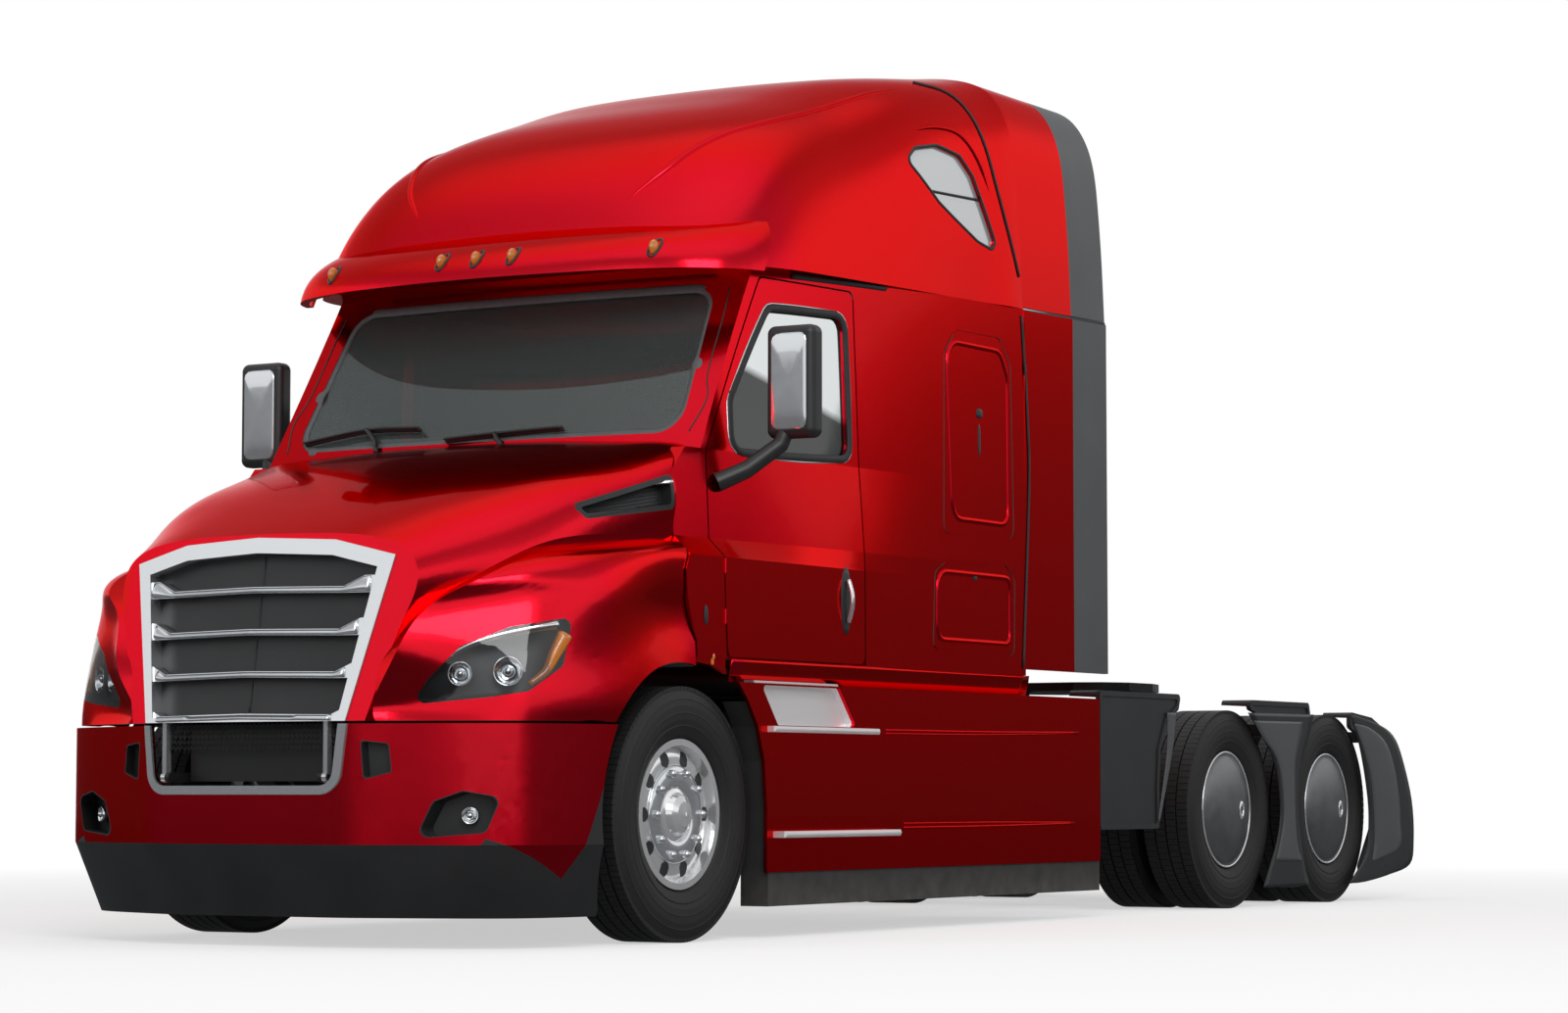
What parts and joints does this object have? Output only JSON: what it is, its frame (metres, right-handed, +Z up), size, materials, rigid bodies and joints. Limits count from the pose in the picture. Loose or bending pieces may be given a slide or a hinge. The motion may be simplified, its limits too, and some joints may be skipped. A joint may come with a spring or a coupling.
{
  "type": "semi truck tractor unit",
  "caption": "Bonneted sleeper-cab tractor unit with twin drive axles, tilting hood, opening doors, steered front wheels and a rocking coupling plate.",
  "frame": {"origin": "on the ground under the middle of the vehicle's length and width", "axes": "+X forward, +Y to the vehicle's left, +Z up"},
  "size_m": [8.8983, 2.968, 3.9799],
  "materials": {
    "amber_lens": "amber",
    "black_plastic": "matt black",
    "black_rubber": "matt black",
    "bright_chrome": "polished",
    "cab_trim": "matt dark grey",
    "engine_grey": "satin grey",
    "fifth_wheel_iron": "greased black",
    "frame_black": "satin black",
    "grey_panel": "satin grey",
    "lamp_glass": "clear",
    "polished_aluminium": "polished",
    "red_paint": "gloss red",
    "step_metal": "brushed",
    "tank_aluminium": "satin",
    "tinted_glass": "tinted",
    "tyre_rubber": "matt black",
    "wheel_grey": "satin"
  },
  "bodies": {
    "chassis": {"chassis_frame": "frame_black", "side_brackets": "frame_black", "engine_block": "engine_grey", "front_axle": "frame_black", "drive_axles": "frame_black", "rear_suspension": "frame_black", "fuel_tanks": "tank_aluminium", "fifth_wheel_mount": "frame_black", "cab_shell": "red_paint", "roof_fairing": "red_paint", "cab_glass": "tinted_glass", "sun_visor": "red_paint", "small_lamps": "amber_lens", "side_extenders": "red_paint", "extender_flaps": "grey_panel", "cab_interior": "cab_trim", "side_fairings": "red_paint", "side_skirts": "black_rubber", "entry_steps": "step_metal", "wheel_fairings": "grey_panel", "front_valance": "black_plastic", "bumper": "red_paint", "lower_grille": "bright_chrome", "bumper_trim": "black_plastic"},
    "fifth_wheel": {"fifth_wheel_plate": "fifth_wheel_iron"},
    "hood": {"hood_shell": "red_paint", "grille": "bright_chrome", "hood_trim": "black_plastic", "headlamps": "lamp_glass"},
    "door_left": {"door_left": "red_paint", "door_glass_left": "tinted_glass", "mirror_left": "black_plastic"},
    "steering_knuckle_left": {"knuckle_left": "frame_black"},
    "front_wheel_left": {"front_tyre_left": "tyre_rubber", "front_rim_left": "polished_aluminium"},
    "drive_wheels_1_left": {"drive_tyres_1_left": "tyre_rubber", "drive_rims_1_left": "wheel_grey"},
    "drive_wheels_2_left": {"drive_tyres_2_left": "tyre_rubber", "drive_rims_2_left": "wheel_grey"},
    "door_right": {"door_right": "red_paint", "door_glass_right": "tinted_glass", "mirror_right": "black_plastic"},
    "steering_knuckle_right": {"knuckle_right": "frame_black"},
    "front_wheel_right": {"front_tyre_right": "tyre_rubber", "front_rim_right": "polished_aluminium"},
    "drive_wheels_1_right": {"drive_tyres_1_right": "tyre_rubber", "drive_rims_1_right": "wheel_grey"},
    "drive_wheels_2_right": {"drive_tyres_2_right": "tyre_rubber", "drive_rims_2_right": "wheel_grey"}
  },
  "joints": [
    {"name": "hood_tilt", "type": "hinge", "parent": "chassis", "child": "hood", "pos_m": [4.41, 0, 0.65], "axis": [0, 1, 0], "range_deg": [0, 75]},
    {"name": "fifth_wheel_tilt", "type": "hinge", "parent": "chassis", "child": "fifth_wheel", "pos_m": [-2.635, 0, 1.072], "axis": [0, 1, 0], "range_deg": [-12, 12]},
    {"name": "door_left_hinge", "type": "hinge", "parent": "chassis", "child": "door_left", "pos_m": [2.871, 1.216, 1.5], "axis": [0, 0, -1], "range_deg": [0, 70]},
    {"name": "door_right_hinge", "type": "hinge", "parent": "chassis", "child": "door_right", "pos_m": [2.871, -1.216, 1.5], "axis": [0, 0, 1], "range_deg": [0, 70]},
    {"name": "steer_left", "type": "hinge", "parent": "chassis", "child": "steering_knuckle_left", "pos_m": [3.155, 0.905, 0.506], "axis": [0, 0, 1], "range_deg": [-40, 40]},
    {"name": "steer_right", "type": "hinge", "parent": "chassis", "child": "steering_knuckle_right", "pos_m": [3.155, -0.905, 0.506], "axis": [0, 0, 1], "range_deg": [-40, 40]},
    {"name": "front_wheel_left_spin", "type": "hinge", "parent": "steering_knuckle_left", "child": "front_wheel_left", "pos_m": [3.155, 1.068, 0.506], "axis": [0, 1, 0], "continuous": true},
    {"name": "drive_wheels_1_left_spin", "type": "hinge", "parent": "chassis", "child": "drive_wheels_1_left", "pos_m": [-2.056, 0.918, 0.506], "axis": [0, 1, 0], "continuous": true},
    {"name": "drive_wheels_2_left_spin", "type": "hinge", "parent": "chassis", "child": "drive_wheels_2_left", "pos_m": [-3.369, 0.918, 0.506], "axis": [0, 1, 0], "continuous": true},
    {"name": "front_wheel_right_spin", "type": "hinge", "parent": "steering_knuckle_right", "child": "front_wheel_right", "pos_m": [3.155, -1.068, 0.506], "axis": [0, 1, 0], "continuous": true},
    {"name": "drive_wheels_1_right_spin", "type": "hinge", "parent": "chassis", "child": "drive_wheels_1_right", "pos_m": [-2.056, -0.918, 0.506], "axis": [0, 1, 0], "continuous": true},
    {"name": "drive_wheels_2_right_spin", "type": "hinge", "parent": "chassis", "child": "drive_wheels_2_right", "pos_m": [-3.369, -0.918, 0.506], "axis": [0, 1, 0], "continuous": true}
  ],
  "couplings": [
    {"joint": "steer_right", "follows": "steer_left", "ratio": 1}
  ]
}
